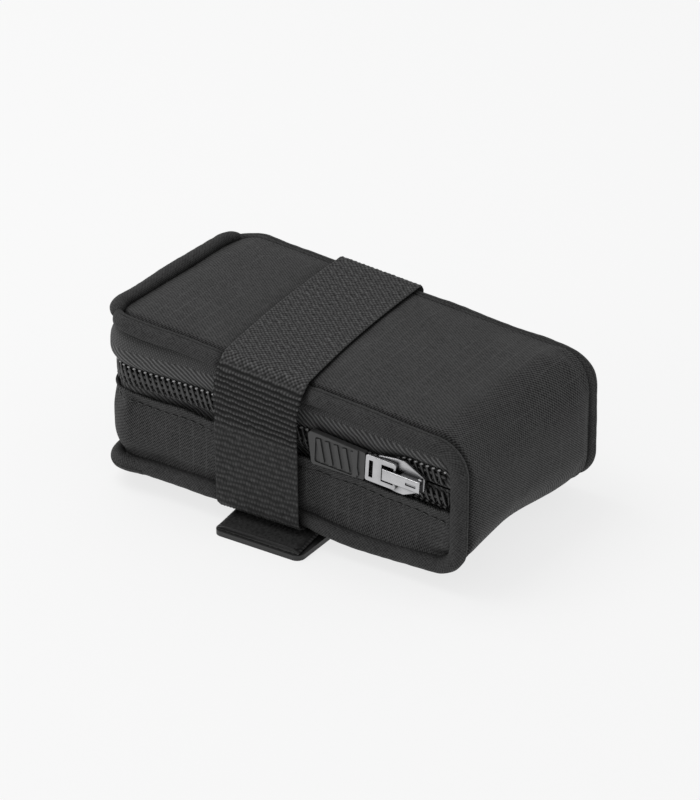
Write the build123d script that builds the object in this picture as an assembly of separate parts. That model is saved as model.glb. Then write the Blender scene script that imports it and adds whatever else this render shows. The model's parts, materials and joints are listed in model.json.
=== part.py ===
from build123d import *
import math
import os

# Saddle bag: a wedge-shaped fabric box with a zip round three sides, held under a saddle
# by a webbing strap that closes underneath with hook and loop.
# +X is the plain front end, -Y the side with the zip slider, +Z up. Z = 0 is the underside
# of the strap that the bag stands on. Millimetres.

# Body: the roll is the corded seam that edges the two side faces and the rear end
HALF_LENGTH = 69.5
HALF_WIDTH = 38.8
BOTTOM_Z = 9.2
REAR_TOP_Z = 63.2
FRONT_TOP_Z = 50.7
ROLL_RADIUS = 3.0
CORD_RADIUS = 2.1
REAR_CORNER_RADIUS = 11.0
FRONT_TOP_RADIUS = 10.0
FRONT_BOTTOM_RADIUS = 8.0
SEAM_RUN = 0.5
CLEARANCE = 0.05
TOUCH = 0.02
MERGE = 0.1

# Wall build-up, measured outward from the surface through the roll centres
SHELL_OUTER = 1.6
SHELL_INNER = 0.4
FOAM_OUTER = 0.35
FOAM_INNER = -2.1
LINING_OUTER = -2.15
LINING_INNER = -2.65
CORE_EDGE = -4.2

# Zip: 8 mm class coil, its centre line falls towards the front
ZIP_CENTRE_Z = 39.3
ZIP_SLOPE = 0.066
ZIP_ANGLE = math.degrees(math.atan(ZIP_SLOPE))
TAPE_OUTER = -3.2
TAPE_THICKNESS = 0.7
COIL_HEIGHT = 2.4
COIL_HALF_WIDTH = 3.5
COIL_GAP = 0.65
LOWER_TAPE_WIDTH = 16.0
COIL_END_INSET = 2.0
STOP_LENGTH = 3.0
STOP_THICKNESS = 0.8
STOP_PROUD = 0.5
STOP_INSET = 3.2

# Side panel below the zip
PANEL_EDGE_REAR = 37.7
PANEL_EDGE_FRONT = 27.2
PANEL_THICKNESS = 1.2
PANEL_FOAM_INNER = -3.1

# Slider and pull, in the zip's own frame: u along the zip, w across it, y outward
SLIDER_X = 48.0
SLIDER_HALF_LENGTH = 9.0
SLIDER_TAIL_HALF_WIDTH = 5.0
SLIDER_SHOULDER_HALF_WIDTH = 6.2
SLIDER_NOSE_HALF_WIDTH = 2.4
SLIDER_PLATE = 1.2
SLIDER_CLEARANCE = 0.15
BACK_PLATE = 1.0
POST_HALF_WIDTH = 0.45
POST_START_U = 3.0
POST_END_U = 8.0
FLANGE_START_U = -7.5
FLANGE_END_U = 1.0
FLANGE_INNER_W = 4.0
FLANGE_OUTER_W = 4.9
FLANGE_DEPTH = 1.9
PLATE_ROUND = 0.4
BRIDGE_HALF_WIDTH = 2.1
BRIDGE_HEIGHT = 2.5
BRIDGE_ROOF = 0.85
BRIDGE_TAIL_U = -5.7
BRIDGE_NOSE_U = 8.6
BRIDGE_ROUND = 0.6
BRIDGE_SLOT_START_U = -4.6
BRIDGE_SLOT_END_U = 1.0
NOSE_LIP = 1.3
NOSE_LIP_HEIGHT = 1.4
NOSE_LIP_PROUD = 0.5
GROOVE_START_U = 3.4
GROOVE_DEPTH = 0.35
GROOVE_HALF_WIDTH = 0.5
PIN_START_U = -0.15
PIN_END_U = 0.95
PIN_HEIGHT = 1.55
PIN_HALF_WIDTH = 0.4
LINK_THICKNESS = 1.2
LINK_HALF_WIDTH = 4.8
LINK_ARM = 1.7
LINK_PIVOT_U = -1.6
LINK_END_U = -12.6
LINK_SLOT_WIDTH = 1.5
LINK_BAR_RADIUS = 0.6
LINK_WINDOW_U = -6.4
LINK_CORNER = 0.9
LINK_ROUND = 0.3
TONGUE_END_U = -29.0
TONGUE_HALF_WIDTH = 2.4
TONGUE_THICKNESS = 0.8
TAB_THICKNESS = 2.3
TAB_HALF_WIDTH = 6.0
TAB_END_U = -35.0
TAB_SLANT = 2.2
TAB_START_U = LINK_END_U - 0.05
TAB_RELIEF = 0.45
TAB_ROUND = 0.35
TAB_RIM = 1.3
TAB_STEP = 2.6
TAB_FIELD_INSET = 4.2
TAB_FIELD_CORNER = 0.8
RIB_COUNT = 5
RIB_PITCH = 3.3
RIB_WIDTH = 1.5
RIB_ANGLE = -14.0
RIB_START = 2.0
RIB_GAP = 1.0

# Strap: webbing of the 35 mm class, a millimetre under its nominal width
WEB_WIDTH = 34.0
WEB = 1.4
TAIL_WEB = 1.3
PATCH = 0.7
STRAP_INNER_Y = HALF_WIDTH + ROLL_RADIUS + 0.3
STRAP_OUTER_Y = STRAP_INNER_Y + WEB
STRAP_TOP_GAP = 0.15
NEAR_BOTTOM_X = -5.9
NEAR_TOP_X = -4.0
FAR_TOP_X = -11.0
FAR_BOTTOM_X = -12.0
TAIL_END_Y = 16.0
STRAP_END_X = -1.2
STRAP_END_Y = -49.8
JOGGLE_START_Y = -16.0
JOGGLE_END_Y = -22.0
HOOK_END_Y = -23.5
PLATE_THICKNESS = 1.85
PLATE_LENGTH = 28.0
PLATE_WIDTH = 35.0
PLATE_FRONT_Y = -50.8
PLATE_CORNER = 3.0

TOP_SLOPE = (REAR_TOP_Z - FRONT_TOP_Z) / (2 * HALF_LENGTH)
TOP_ANGLE = math.degrees(math.atan(TOP_SLOPE))
TALL = 100.0
LONG = 200.0


def top_z(x):
    """Height of the roll centre along the sloping top edge."""
    return REAR_TOP_Z - TOP_SLOPE * (x + HALF_LENGTH)


def zip_z(x):
    """Height of the zip's centre line."""
    return ZIP_CENTRE_Z - ZIP_SLOPE * x


def side_face(points):
    """A flat face in the XZ plane from (x, z) points."""
    return make_face(Polyline(*[(x, 0, z) for x, z in points], close=True))


def across(face, half_width):
    """Extrude a face of the XZ plane both ways along Y."""
    return extrude(face, amount=half_width, dir=(0, 1, 0), both=True)


def wedge(offset, half_width=LONG):
    """The bag's side profile, grown by offset and left open past the rear end."""
    rear = -HALF_LENGTH - 20
    front = HALF_LENGTH + offset
    rise = offset / math.cos(math.radians(TOP_ANGLE))
    outline = FilletPolyline(
        (rear, 0, top_z(rear) + rise),
        (front, 0, top_z(front) + rise),
        (front, 0, BOTTOM_Z - offset),
        (rear, 0, BOTTOM_Z - offset),
        radius=[0, FRONT_TOP_RADIUS + offset, FRONT_BOTTOM_RADIUS + offset, 0],
        close=True,
    )
    return across(make_face(outline), half_width)


def plan(offset):
    """The bag's plan, grown by offset, with round rear corners, left open past the front."""
    rear = -HALF_LENGTH - offset
    half = HALF_WIDTH + offset
    outline = FilletPolyline(
        (LONG, -half, 0),
        (rear, -half, 0),
        (rear, half, 0),
        (LONG, half, 0),
        radius=[0, REAR_CORNER_RADIUS + offset, REAR_CORNER_RADIUS + offset, 0],
        close=True,
    )
    return extrude(make_face(outline), amount=TALL)


def band(outer, inner, low, high):
    """A U-shaped wall strip between two offsets and two sloping edges given as z(x)."""
    x0 = -LONG / 2
    x1 = LONG / 2
    limits = side_face([(x0, low(x0)), (x1, low(x1)), (x1, high(x1)), (x0, high(x0))])
    return (plan(outer) - plan(inner)) & across(limits, LONG)


def tube(path, radius, bore=0.0):
    """A round or hollow round section swept along a path."""
    start = Plane(origin=path @ 0, z_dir=path % 0)
    section = start * Circle(radius)
    if bore:
        section -= start * Circle(bore)
    return sweep(section, path=path)


def side_roll_path(y):
    """Top edge, front end and bottom edge of one side face."""
    x0 = SEAM_RUN + REAR_CORNER_RADIUS - HALF_LENGTH
    return FilletPolyline(
        (x0, y, top_z(x0)),
        (HALF_LENGTH, y, top_z(HALF_LENGTH)),
        (HALF_LENGTH, y, BOTTOM_Z),
        (x0, y, BOTTOM_Z),
        radius=[FRONT_TOP_RADIUS, FRONT_BOTTOM_RADIUS],
    )


def rear_roll_path(height):
    """Rear edge with its two round corners; height is z(x)."""
    x0 = SEAM_RUN + REAR_CORNER_RADIUS - HALF_LENGTH
    x1 = -HALF_LENGTH
    return FilletPolyline(
        (x0, -HALF_WIDTH, height(x0)),
        (x1, -HALF_WIDTH, height(x1)),
        (x1, HALF_WIDTH, height(x1)),
        (x0, HALF_WIDTH, height(x0)),
        radius=[REAR_CORNER_RADIUS, REAR_CORNER_RADIUS],
    )


def roll_paths():
    return {
        "near": side_roll_path(-HALF_WIDTH),
        "far": side_roll_path(HALF_WIDTH),
        "rear_top": rear_roll_path(top_z),
        "rear_bottom": rear_roll_path(lambda x: BOTTOM_Z),
    }


def cut_clear(solid, rolls):
    """Take the space of the rolls out of a wall."""
    for roll in rolls:
        solid -= roll
    return solid


def shell_parts(rolls):
    """Fabric, foam and lining that run over the top, front end and bottom in one piece."""
    fabric = (wedge(SHELL_OUTER) - wedge(SHELL_INNER)) & plan(0)
    foam = (wedge(FOAM_OUTER) - wedge(FOAM_INNER)) & plan(CORE_EDGE)
    lining = (wedge(LINING_OUTER) - wedge(LINING_INNER)) & plan(CORE_EDGE)
    return {"main_panel": cut_clear(fabric, rolls), "main_foam": foam, "lining": lining}


def panel_edge(x):
    """Top edge of the side panel below the zip."""
    run = (x + HALF_LENGTH) / (2 * HALF_LENGTH)
    return PANEL_EDGE_REAR + (PANEL_EDGE_FRONT - PANEL_EDGE_REAR) * run


def side_parts(rolls):
    """Lower side panel, its foam, the two zip tapes and the two coils, round three sides."""
    tape_inner = TAPE_OUTER - TAPE_THICKNESS
    coil_outer = TAPE_OUTER + COIL_HEIGHT
    wall = wedge(SHELL_INNER - CLEARANCE)
    coil_limit = wedge(-COIL_END_INSET)
    parts = {
        "side_panel": band(0, -PANEL_THICKNESS, lambda x: 0, panel_edge) & wall,
        "side_foam": band(
            -PANEL_THICKNESS - CLEARANCE,
            PANEL_FOAM_INNER,
            lambda x: BOTTOM_Z + ROLL_RADIUS,
            lambda x: panel_edge(x) - 1,
        )
        & wall,
        "zip_tape_upper": band(
            TAPE_OUTER, tape_inner, lambda x: zip_z(x) + COIL_GAP, lambda x: TALL
        )
        & wall,
        "zip_tape_lower": band(
            TAPE_OUTER,
            tape_inner,
            lambda x: zip_z(x) - LOWER_TAPE_WIDTH,
            lambda x: zip_z(x) - COIL_GAP,
        )
        & wall,
        "zip_coil_upper": band(
            coil_outer,
            TAPE_OUTER,
            lambda x: zip_z(x) + COIL_GAP,
            lambda x: zip_z(x) + COIL_HALF_WIDTH,
        )
        & coil_limit,
        "zip_coil_lower": band(
            coil_outer,
            TAPE_OUTER,
            lambda x: zip_z(x) - COIL_HALF_WIDTH,
            lambda x: zip_z(x) - COIL_GAP,
        )
        & coil_limit,
    }
    return {name: cut_clear(solid, rolls) for name, solid in parts.items()}


def zip_stop():
    """The clamp that ends the coil on the far side."""
    y = HALF_WIDTH + TAPE_OUTER + COIL_HEIGHT + CLEARANCE
    high = 2 * (COIL_HALF_WIDTH + STOP_PROUD)
    clamp = Box(STOP_LENGTH, STOP_THICKNESS, high, align=(Align.CENTER, Align.MIN, Align.CENTER))
    clamp = fillet(clamp.edges().filter_by(Axis.Y), STOP_THICKNESS)
    x = HALF_LENGTH - ROLL_RADIUS - STOP_INSET
    return Pos(x, y, zip_z(x)) * Rot(0, ZIP_ANGLE, 0) * clamp


def on_zip(solid):
    """Place a solid of the slider's frame on the near side of the bag."""
    return Pos(SLIDER_X, 0, zip_z(SLIDER_X)) * Rot(0, ZIP_ANGLE, 0) * solid


def block(u0, u1, y0, y1, w0, w1):
    """A box given by its limits along the zip, outward and across it."""
    corner = (Align.MIN, Align.MIN, Align.MIN)
    return Pos(u0, min(y0, y1), w0) * Box(u1 - u0, abs(y1 - y0), w1 - w0, align=corner)


def slider_levels():
    """Y of the slider's plates, counted from the tape outward."""
    coil_face = -(HALF_WIDTH + TAPE_OUTER + COIL_HEIGHT)
    tape_back = -(HALF_WIDTH + TAPE_OUTER - TAPE_THICKNESS)
    plate_in = coil_face - SLIDER_CLEARANCE
    plate_out = plate_in - SLIDER_PLATE
    back_out = tape_back + SLIDER_CLEARANCE + 0.05
    return plate_in, plate_out, back_out


def slider_plate_face():
    """Arrow-shaped outline: a narrow tail, wide shoulders and a blunt nose."""
    end = SLIDER_HALF_LENGTH
    tail = SLIDER_TAIL_HALF_WIDTH
    wide = SLIDER_SHOULDER_HALF_WIDTH
    nose = SLIDER_NOSE_HALF_WIDTH
    outline = FilletPolyline(
        (-end, 0, tail),
        (-1.5, 0, wide),
        (1.5, 0, wide),
        (end, 0, nose),
        (end, 0, -nose),
        (1.5, 0, -wide),
        (-1.5, 0, -wide),
        (-end, 0, -tail),
        radius=[1.2, 4.0, 3.0, 1.2, 1.2, 3.0, 4.0, 1.2],
        close=True,
    )
    return make_face(outline)


def slider_body():
    """Front and back plates joined by the post that parts the coils, with side flanges."""
    plate_in, plate_out, back_out = slider_levels()
    outline = slider_plate_face()
    front = Pos(0, plate_out, 0) * extrude(outline, amount=SLIDER_PLATE, dir=(0, 1, 0))
    back = Pos(0, back_out, 0) * extrude(outline, amount=BACK_PLATE, dir=(0, 1, 0))
    wide = POST_HALF_WIDTH
    post = block(POST_START_U, POST_END_U, plate_in - MERGE, back_out + MERGE, -wide, wide)
    body = front + back + post
    for side in (1, -1):
        low, high = sorted((side * FLANGE_INNER_W, side * FLANGE_OUTER_W))
        deep = plate_in + FLANGE_DEPTH
        body += block(FLANGE_START_U, FLANGE_END_U, plate_in - MERGE, deep, low, high)
    body = fillet(body.faces().sort_by(Axis.Y)[0].edges(), PLATE_ROUND)
    return body


def slider_bridge():
    """The bail on the front plate that the pull link hangs from, with a lip at the nose."""
    _, plate_out, _ = slider_levels()
    top = plate_out - BRIDGE_HEIGHT
    wide = BRIDGE_HALF_WIDTH
    bail = block(BRIDGE_TAIL_U, BRIDGE_NOSE_U, top, plate_out, -wide, wide)
    bail = fillet(bail.faces().sort_by(Axis.Y)[0].edges(), BRIDGE_ROUND)
    roof = top + BRIDGE_ROOF
    slot = block(BRIDGE_SLOT_START_U, BRIDGE_SLOT_END_U, roof, plate_out + 1, -wide - 1, wide + 1)
    lip_start = BRIDGE_NOSE_U - NOSE_LIP
    lip_wide = wide + NOSE_LIP_PROUD
    lip = block(lip_start, BRIDGE_NOSE_U, plate_out - NOSE_LIP_HEIGHT, plate_out, -lip_wide, lip_wide)
    lip = fillet(lip.faces().sort_by(Axis.Y)[0].edges(), PLATE_ROUND)
    narrow = GROOVE_HALF_WIDTH
    groove = block(GROOVE_START_U, lip_start, top - 1, top + GROOVE_DEPTH, -narrow, narrow)
    return bail - slot - groove + lip


def lock_pin():
    """The small locking tooth that shows in the bail's slot."""
    _, plate_out, _ = slider_levels()
    wide = PIN_HALF_WIDTH
    return block(PIN_START_U, PIN_END_U, plate_out - PIN_HEIGHT, plate_out - TOUCH, -wide, wide)


def pull_level():
    """Y of the plane that the link and the tab lie in."""
    _, plate_out, _ = slider_levels()
    return plate_out - 0.8


def tongue():
    """The flat tail of the link that the rubber is moulded round."""
    y = pull_level()
    half = TONGUE_THICKNESS / 2
    wide = TONGUE_HALF_WIDTH
    return block(TONGUE_END_U, LINK_END_U + 0.5, y - half, y + half, -wide, wide)


def puller_link():
    """Flat metal link: a bar under the bail, two arms, a slotted web and a tongue."""
    y = pull_level()
    half = LINK_THICKNESS / 2
    wide = LINK_HALF_WIDTH
    inner = wide - LINK_ARM
    right = LINK_PIVOT_U + LINK_BAR_RADIUS
    slot_u = LINK_END_U + LINK_SLOT_WIDTH
    plate = block(LINK_END_U, right, y - half, y + half, -wide, wide)
    plate = fillet(plate.edges().filter_by(Axis.Y), LINK_CORNER)
    plate = fillet(plate.faces().sort_by(Axis.Y)[0].edges(), LINK_ROUND)
    plate -= block(slot_u, slot_u + LINK_SLOT_WIDTH, y - 2, y + 2, -inner, inner)
    plate -= block(LINK_WINDOW_U, right + 1, y - 2, y + 2, -inner, inner)
    bar = Pos(LINK_PIVOT_U, y, 0) * Cylinder(LINK_BAR_RADIUS, 2 * (inner + MERGE))
    return plate + bar + tongue()


def pull_tab():
    """Rubber grip moulded on the tongue, with slanted ribs in a shallow field."""
    y = pull_level()
    half = TAB_THICKNESS / 2
    reach = TAB_HALF_WIDTH
    outline = FilletPolyline(
        (TAB_START_U, 0, reach - 1.0),
        (TAB_START_U, 0, 1.0 - reach),
        (TAB_END_U + TAB_SLANT, 0, -reach),
        (TAB_END_U, 0, reach),
        radius=[0.6, 0.6, 1.2, 1.6],
        close=True,
    )
    grip = Pos(0, y - half, 0) * extrude(make_face(outline), amount=TAB_THICKNESS, dir=(0, 1, 0))
    grip = fillet(grip.faces().sort_by(Axis.Y)[0].edges(), TAB_ROUND)
    front = y - half
    floor = front + TAB_RELIEF
    inner = reach - TAB_RIM
    start = TAB_END_U + TAB_SLANT + TAB_RIM
    step = block(TAB_START_U - TAB_STEP, TAB_START_U + 1, front - 1, floor, -2 * reach, 2 * reach)
    field = block(start, TAB_START_U - TAB_FIELD_INSET, front - 1, floor, -inner, inner)
    grip -= step + fillet(field.edges().filter_by(Axis.Y), TAB_FIELD_CORNER)
    for k in range(RIB_COUNT):
        u = start + RIB_START + RIB_PITCH * k
        rib = Box(RIB_WIDTH, TAB_RELIEF + MERGE, 2 * inner - RIB_GAP)
        grip += Pos(u, front + (TAB_RELIEF + MERGE) / 2, 0) * Rot(0, RIB_ANGLE, 0) * rib
    return grip - tongue()


def strap_top_z(x):
    """Underside of the strap where it crosses the top, resting on the rolls."""
    return top_z(x) + (ROLL_RADIUS + STRAP_TOP_GAP) / math.cos(math.radians(TOP_ANGLE))


def slab(inner, outer, inner_y, outer_y):
    """A flat strap section between a quad at inner_y and a quad at outer_y, each (x, z) x 4."""
    faces = []
    for quad, y in ((inner, inner_y), (outer, outer_y)):
        faces.append(make_face(Polyline(*[(x, y, z) for x, z in quad], close=True)))
    return loft(faces)


def leg_quad(bottom_x, top_x, bottom_z, rise):
    """Corners of a strap leg: level at the bottom, along the slope at the top."""
    half = WEB_WIDTH / 2
    left = top_x - half
    right = top_x + half
    return [
        (bottom_x - half, bottom_z),
        (bottom_x + half, bottom_z),
        (right, strap_top_z(right) + rise),
        (left, strap_top_z(left) + rise),
    ]


def top_plate():
    """The strap's run across the top; it drifts to the rear as it crosses, mitred at both ends."""
    half = WEB_WIDTH / 2
    rise = WEB / math.cos(math.radians(TOP_ANGLE))
    faces = []
    for lift, y in ((0, STRAP_INNER_Y), (rise, STRAP_OUTER_Y)):
        corners = []
        for x, side in (
            (NEAR_TOP_X - half, -1),
            (NEAR_TOP_X + half, -1),
            (FAR_TOP_X + half, 1),
            (FAR_TOP_X - half, 1),
        ):
            corners.append((x, side * y, strap_top_z(x) + lift))
        faces.append(make_face(Polyline(*corners, close=True)))
    return loft(faces)


def strap_over():
    """Webbing fixed to the bag: the tail underneath, the near leg and the run over the top."""
    half = WEB_WIDTH / 2
    rise = WEB / math.cos(math.radians(TOP_ANGLE))
    tail_top = BOTTOM_Z - ROLL_RADIUS - 0.15
    tail_bottom = tail_top - TAIL_WEB
    leg = slab(
        leg_quad(NEAR_BOTTOM_X, NEAR_TOP_X, tail_top, 0),
        leg_quad(NEAR_BOTTOM_X, NEAR_TOP_X, tail_bottom, rise),
        -STRAP_INNER_Y,
        -STRAP_OUTER_Y,
    )
    profile = make_face(
        Polyline(
            (NEAR_BOTTOM_X - half, -STRAP_OUTER_Y, tail_bottom),
            (NEAR_BOTTOM_X - half, TAIL_END_Y, tail_bottom),
            (NEAR_BOTTOM_X - half, TAIL_END_Y, tail_top),
            (NEAR_BOTTOM_X - half, -STRAP_INNER_Y, tail_top),
            close=True,
        )
    )
    tail = extrude(profile, amount=WEB_WIDTH, dir=(1, 0, 0))
    return leg + tail + top_plate()


def strap_far():
    """The far leg, mitred to fold out at both of its ends."""
    rise = WEB / math.cos(math.radians(TOP_ANGLE))
    return slab(
        leg_quad(FAR_BOTTOM_X, FAR_TOP_X, WEB, 0),
        leg_quad(FAR_BOTTOM_X, FAR_TOP_X, 0, rise),
        STRAP_INNER_Y,
        STRAP_OUTER_Y,
    )


def strap_plan(y0, y1, width):
    """Plan of the strap's free end, which runs askew from the far edge to the near edge."""
    def centre(y):
        run = (STRAP_OUTER_Y - y) / (STRAP_OUTER_Y - STRAP_END_Y)
        return FAR_BOTTOM_X + (STRAP_END_X - FAR_BOTTOM_X) * run

    half = width / 2
    corners = [
        (centre(y0) - half, y0, -1),
        (centre(y0) + half, y0, -1),
        (centre(y1) + half, y1, -1),
        (centre(y1) - half, y1, -1),
    ]
    return extrude(make_face(Polyline(*corners, close=True)), amount=TALL, dir=(0, 0, 1))


def strap_end():
    """The free end: flat on the ground at the far side, then up over the end plate."""
    step = PLATE_THICKNESS
    outline = [
        (STRAP_OUTER_Y, 0),
        (STRAP_INNER_Y, WEB),
        (JOGGLE_START_Y, WEB),
        (JOGGLE_END_Y, WEB + step),
        (STRAP_END_Y, WEB + step),
        (STRAP_END_Y, step),
        (JOGGLE_END_Y, step),
        (JOGGLE_START_Y, 0),
    ]
    profile = make_face(Polyline(*[(-LONG / 2, y, z) for y, z in outline], close=True))
    ribbon = extrude(profile, amount=LONG, dir=(1, 0, 0))
    return ribbon & strap_plan(STRAP_END_Y - 1, STRAP_OUTER_Y + 1, WEB_WIDTH)


def hook_patch():
    """Hook tape sewn on top of the free end."""
    base = PLATE_THICKNESS + WEB
    layer = Pos(0, 0, base) * Box(LONG, LONG, PATCH, align=(Align.CENTER, Align.CENTER, Align.MIN))
    return layer & strap_plan(STRAP_END_Y + 1.2, HOOK_END_Y, WEB_WIDTH - 2)


def loop_patch():
    """Loop tape sewn under the tail."""
    top = BOTTOM_Z - ROLL_RADIUS - 0.15 - TAIL_WEB
    length = TAIL_END_Y - 2 + HALF_WIDTH
    patch = Box(WEB_WIDTH - 2, length, PATCH, align=(Align.CENTER, Align.MAX, Align.MAX))
    return Pos(NEAR_BOTTOM_X, TAIL_END_Y - 2, top) * patch


def end_plate():
    """Moulded rubber grip under the free end."""
    plate = Box(PLATE_WIDTH, PLATE_LENGTH, PLATE_THICKNESS, align=(Align.CENTER, Align.MIN, Align.MIN))
    plate = fillet(plate.edges().filter_by(Axis.Z), PLATE_CORNER)
    return Pos(STRAP_END_X, PLATE_FRONT_Y, 0) * plate


def build():
    paths = roll_paths()
    solid_rolls = [tube(path, ROLL_RADIUS) for path in paths.values()]
    parts = {}
    for name, path in paths.items():
        parts["roll_" + name] = tube(path, ROLL_RADIUS, CORD_RADIUS)
        parts["roll_cord_" + name] = tube(path, CORD_RADIUS)
    parts.update(shell_parts(solid_rolls))
    parts.update(side_parts(solid_rolls))
    parts["zip_bottom_stop"] = zip_stop()
    parts["slider_body"] = on_zip(slider_body())
    parts["slider_bridge"] = on_zip(slider_bridge())
    parts["slider_lock_pin"] = on_zip(lock_pin())
    parts["puller_link"] = on_zip(puller_link())
    parts["pull_tab"] = on_zip(pull_tab())
    parts["strap_over"] = strap_over()
    parts["strap_far"] = strap_far()
    parts["strap_end"] = strap_end()
    parts["loop_patch"] = loop_patch()
    parts["hook_patch"] = hook_patch()
    parts["end_plate"] = end_plate()
    return parts


def write(parts):
    os.makedirs("parts", exist_ok=True)
    for name, solid in parts.items():
        export_step(solid, os.path.join("parts", name + ".step"))


write(build())
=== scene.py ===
import json
import math

import bpy
import numpy as np
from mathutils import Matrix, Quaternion, Vector


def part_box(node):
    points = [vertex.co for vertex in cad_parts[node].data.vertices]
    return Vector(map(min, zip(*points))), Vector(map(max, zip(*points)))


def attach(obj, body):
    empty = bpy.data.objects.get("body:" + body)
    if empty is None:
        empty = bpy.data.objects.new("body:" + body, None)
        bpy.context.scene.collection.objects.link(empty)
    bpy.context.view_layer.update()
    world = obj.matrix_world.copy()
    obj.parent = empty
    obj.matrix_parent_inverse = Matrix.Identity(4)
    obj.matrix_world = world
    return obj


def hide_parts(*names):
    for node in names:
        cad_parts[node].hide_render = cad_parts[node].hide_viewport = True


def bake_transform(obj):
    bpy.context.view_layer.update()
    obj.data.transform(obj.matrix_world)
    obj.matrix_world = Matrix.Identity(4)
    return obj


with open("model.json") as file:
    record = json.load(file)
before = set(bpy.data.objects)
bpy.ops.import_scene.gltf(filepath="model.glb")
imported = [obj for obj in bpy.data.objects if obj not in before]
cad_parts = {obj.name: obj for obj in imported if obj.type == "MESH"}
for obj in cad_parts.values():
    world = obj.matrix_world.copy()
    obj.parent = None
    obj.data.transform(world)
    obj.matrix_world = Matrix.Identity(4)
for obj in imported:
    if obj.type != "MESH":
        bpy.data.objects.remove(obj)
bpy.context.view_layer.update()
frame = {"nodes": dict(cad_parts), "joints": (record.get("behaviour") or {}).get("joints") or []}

# Lengths are in millimetres in the frame's axes: +X the plain front end, -Y the side with
# the zip slider, +Z up. MM turns them into metres when a mesh is made.
MM = 0.001
TAU = 2 * math.pi


# ---- dimensions from the frame


def box_mm(node):
    """Lowest and highest corner of a CAD node, in millimetres."""
    low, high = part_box(node)
    return np.array(low) / MM, np.array(high) / MM


JOINTS = {joint["name"]: joint for joint in frame["joints"]}


def joint_point(name):
    return np.array(JOINTS[name]["pos_m"]) / MM


ROLL_LOW, ROLL_HIGH = box_mm("roll_near")
ROLL_R = (ROLL_HIGH[1] - ROLL_LOW[1]) / 2
HALF_W = -(ROLL_HIGH[1] + ROLL_LOW[1]) / 2
HALF_L = ROLL_HIGH[0] - ROLL_R
BOTTOM_Z = ROLL_LOW[2] + ROLL_R
REAR_TOP_Z = box_mm("roll_rear_top")[1][2] - ROLL_R
LEG_AXIS = JOINTS["strap_leg_swing"]["axis"]
ZIP_AXIS = JOINTS["zipper_slide"]["axis"]
TOP_SLOPE = -LEG_AXIS[2] / LEG_AXIS[0]
ZIP_SLOPE = -ZIP_AXIS[2] / ZIP_AXIS[0]
PULL_PIVOT = joint_point("puller_swing")
LEG_PIVOT = joint_point("strap_leg_swing")
PEEL_PIVOT = joint_point("strap_peel")
SLIDER_X = (box_mm("slider_body")[0][0] + box_mm("slider_body")[1][0]) / 2

# Corner radii of the bag, the same as the CAD model's
REAR_CORNER = 11.0
FRONT_TOP = 10.0
FRONT_BOTTOM = 8.0

# How far the stuffing pushes the front end forward, and where the push begins
FAR_FRONT_BULGE = 3.6
NEAR_FRONT_BULGE = 0.3
BULGE_START_X = 58.0
BULGE_RUN = 10.0

# Zip and side panel
TAPE_OFFSET = box_mm("zip_tape_upper")[1][1] - HALF_W
COIL_PITCH = 2.2
COIL_HALF_WIDTH = 2.9
COIL_HEIGHT = 2.0
COIL_OVERLAP = 1.2
COIL_PARTING = 3.2
COIL_LEAN = 0.6
FILAMENT_R = 0.48
CORE_R = 0.7
PANEL_EDGE_REAR = box_mm("side_panel")[1][2]
PANEL_EDGE_FRONT = 27.2

# Strap
WEB_WIDTH = 33.2
WEB = 1.3
STRAP_MID_Y = (box_mm("strap_far")[0][1] + box_mm("strap_far")[1][1]) / 2
NEAR_BOTTOM_X = (box_mm("loop_patch")[0][0] + box_mm("loop_patch")[1][0]) / 2
NEAR_TOP_X = -3.4
PLATE_LOW, PLATE_HIGH = box_mm("end_plate")
END_X = (PLATE_LOW[0] + PLATE_HIGH[0]) / 2
END_Y = box_mm("strap_end")[0][1]
LOOP_HIGH = box_mm("loop_patch")[1]
TAIL_MID_Z = LOOP_HIGH[2] + WEB / 2


def top_z(x):
    """Height of the roll's centre along the sloping top edge."""
    return REAR_TOP_Z - TOP_SLOPE * (x + HALF_L)


def zip_z(x):
    """Height of the zip's centre line."""
    return PULL_PIVOT[2] - ZIP_SLOPE * (x - PULL_PIVOT[0])


def panel_edge(x):
    """Height of the side panel's top edge."""
    run = np.clip((x + HALF_L) / (2 * HALF_L), 0, 1)
    return PANEL_EDGE_REAR + (PANEL_EDGE_FRONT - PANEL_EDGE_REAR) * run


# ---- mesh helpers


def smooth(t):
    """0 to 1 with soft ends."""
    t = np.clip(t, 0, 1)
    return t * t * (3 - 2 * t)


def bump(x, centre, width):
    """A soft hump, 1 at centre."""
    return np.exp(-(((x - centre) / width) ** 2))


WAVE_COUNT = 14


def waves(points, length, seed):
    """Smooth seeded noise of about unit size over 2-D or 3-D points, with that wavelength."""
    rng = np.random.default_rng(seed)
    points = np.asarray(points, float)
    total = np.zeros(points.shape[0])
    for _ in range(WAVE_COUNT):
        direction = rng.normal(size=points.shape[1])
        direction /= np.linalg.norm(direction)
        stretch = rng.uniform(0.7, 1.5)
        phase = rng.uniform(0, 6.28)
        total += np.sin(points @ direction * TAU / (length * stretch) + phase)
    return total / math.sqrt(WAVE_COUNT)


def along(run, length, seed):
    """The same noise along a line, from its running length."""
    return waves(np.stack([run, 0 * run], -1), length, seed)


def unit_rows(vectors):
    return vectors / np.linalg.norm(vectors, axis=1)[:, None]


def running_length(points):
    return np.r_[0, np.cumsum(np.linalg.norm(np.diff(points, axis=0), axis=1))]


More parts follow.
